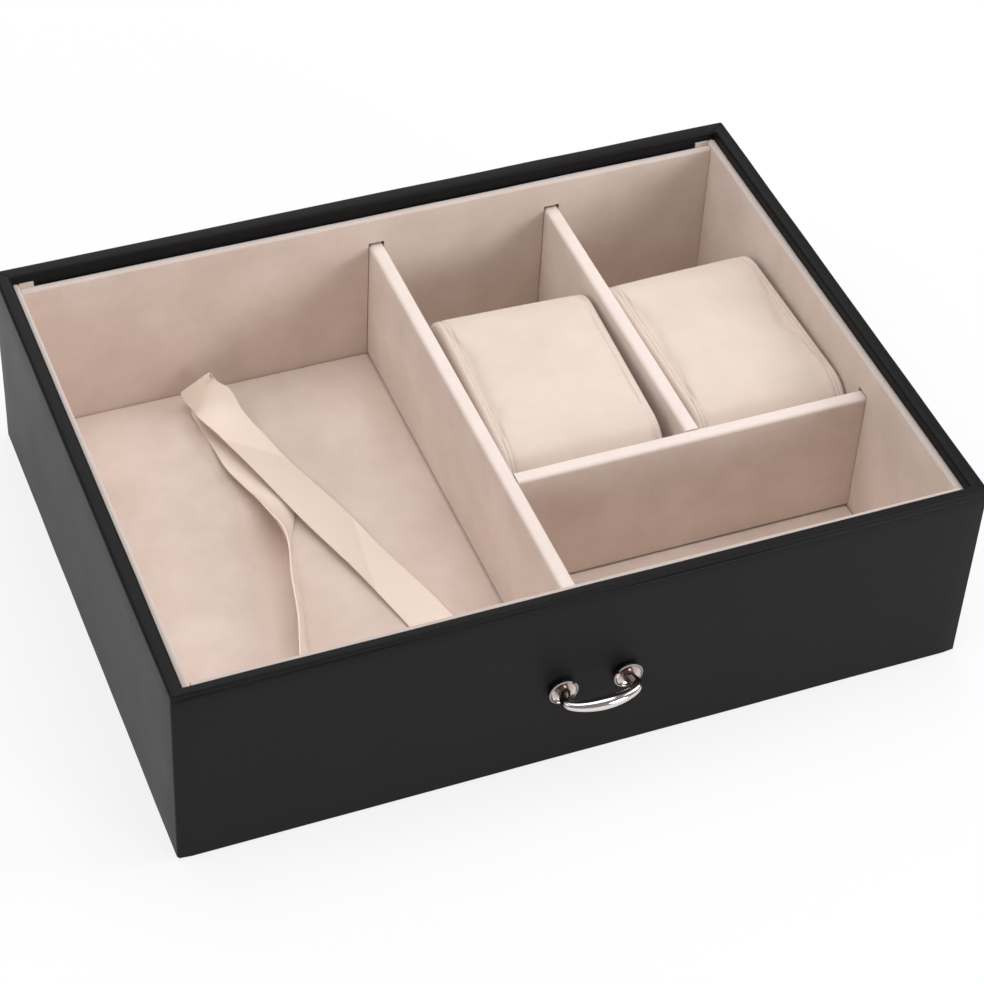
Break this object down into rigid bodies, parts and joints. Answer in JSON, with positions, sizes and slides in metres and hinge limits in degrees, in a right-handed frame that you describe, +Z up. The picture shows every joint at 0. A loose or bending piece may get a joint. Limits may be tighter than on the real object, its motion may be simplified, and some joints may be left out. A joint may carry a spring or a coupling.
{
  "type": "jewellery box drawer",
  "caption": "Leather-covered jewellery drawer lined with velvet, with slotted dividers, lift-out watch pillows, a lift ribbon and a fixed metal pull.",
  "frame": {"origin": "middle of the underside of the drawer's body, the pull left out", "axes": "+X to the right as seen from the front, +Y from the front to the back, +Z up out of the open top"},
  "size_m": [0.27, 0.2164, 0.074],
  "materials": {
    "board": "raw fibreboard",
    "leather": "black fine-grain artificial leather",
    "card": "grey-brown card board",
    "velvet": "short-pile velvet",
    "pillow_velvet": "short-pile velvet",
    "foam": "soft foam",
    "ribbon": "satin ribbon",
    "nickel": "polished nickel plate",
    "screw_steel": "zinc plated steel"
  },
  "bodies": {
    "drawer": {"base_board": "board", "front_board": "board", "back_board": "board", "left_board": "board", "right_board": "board", "leather_wrap": "leather", "front_facing": "leather", "underside_sheet": "leather", "left_liner_card": "card", "left_liner_velvet": "velvet", "right_liner_card": "card", "right_liner_velvet": "velvet", "back_liner_card": "card", "back_liner_velvet": "velvet", "front_liner_card": "card", "front_liner_velvet": "velvet", "floor_card": "card", "floor_velvet": "velvet", "long_divider_board": "card", "long_divider_sleeve": "velvet", "cross_divider_board": "card", "cross_divider_sleeve": "velvet", "short_divider_board": "card", "short_divider_sleeve": "velvet", "pull_bow": "nickel", "left_rosette": "nickel", "right_rosette": "nickel", "pull_screws": "screw_steel", "pull_washers": "screw_steel", "lift_ribbon": "ribbon"},
    "left_pillow": {"left_pillow_core": "foam", "left_pillow_cover": "pillow_velvet", "left_pillow_left_cap": "pillow_velvet", "left_pillow_right_cap": "pillow_velvet"},
    "right_pillow": {"right_pillow_core": "foam", "right_pillow_cover": "pillow_velvet", "right_pillow_left_cap": "pillow_velvet", "right_pillow_right_cap": "pillow_velvet"}
  },
  "joints": [
    {"name": "left_pillow_lift", "type": "slide", "parent": "drawer", "child": "left_pillow", "axis": [0, 0, 1], "range_m": [0, 0.075]},
    {"name": "right_pillow_lift", "type": "slide", "parent": "drawer", "child": "right_pillow", "axis": [0, 0, 1], "range_m": [0, 0.075]}
  ]
}
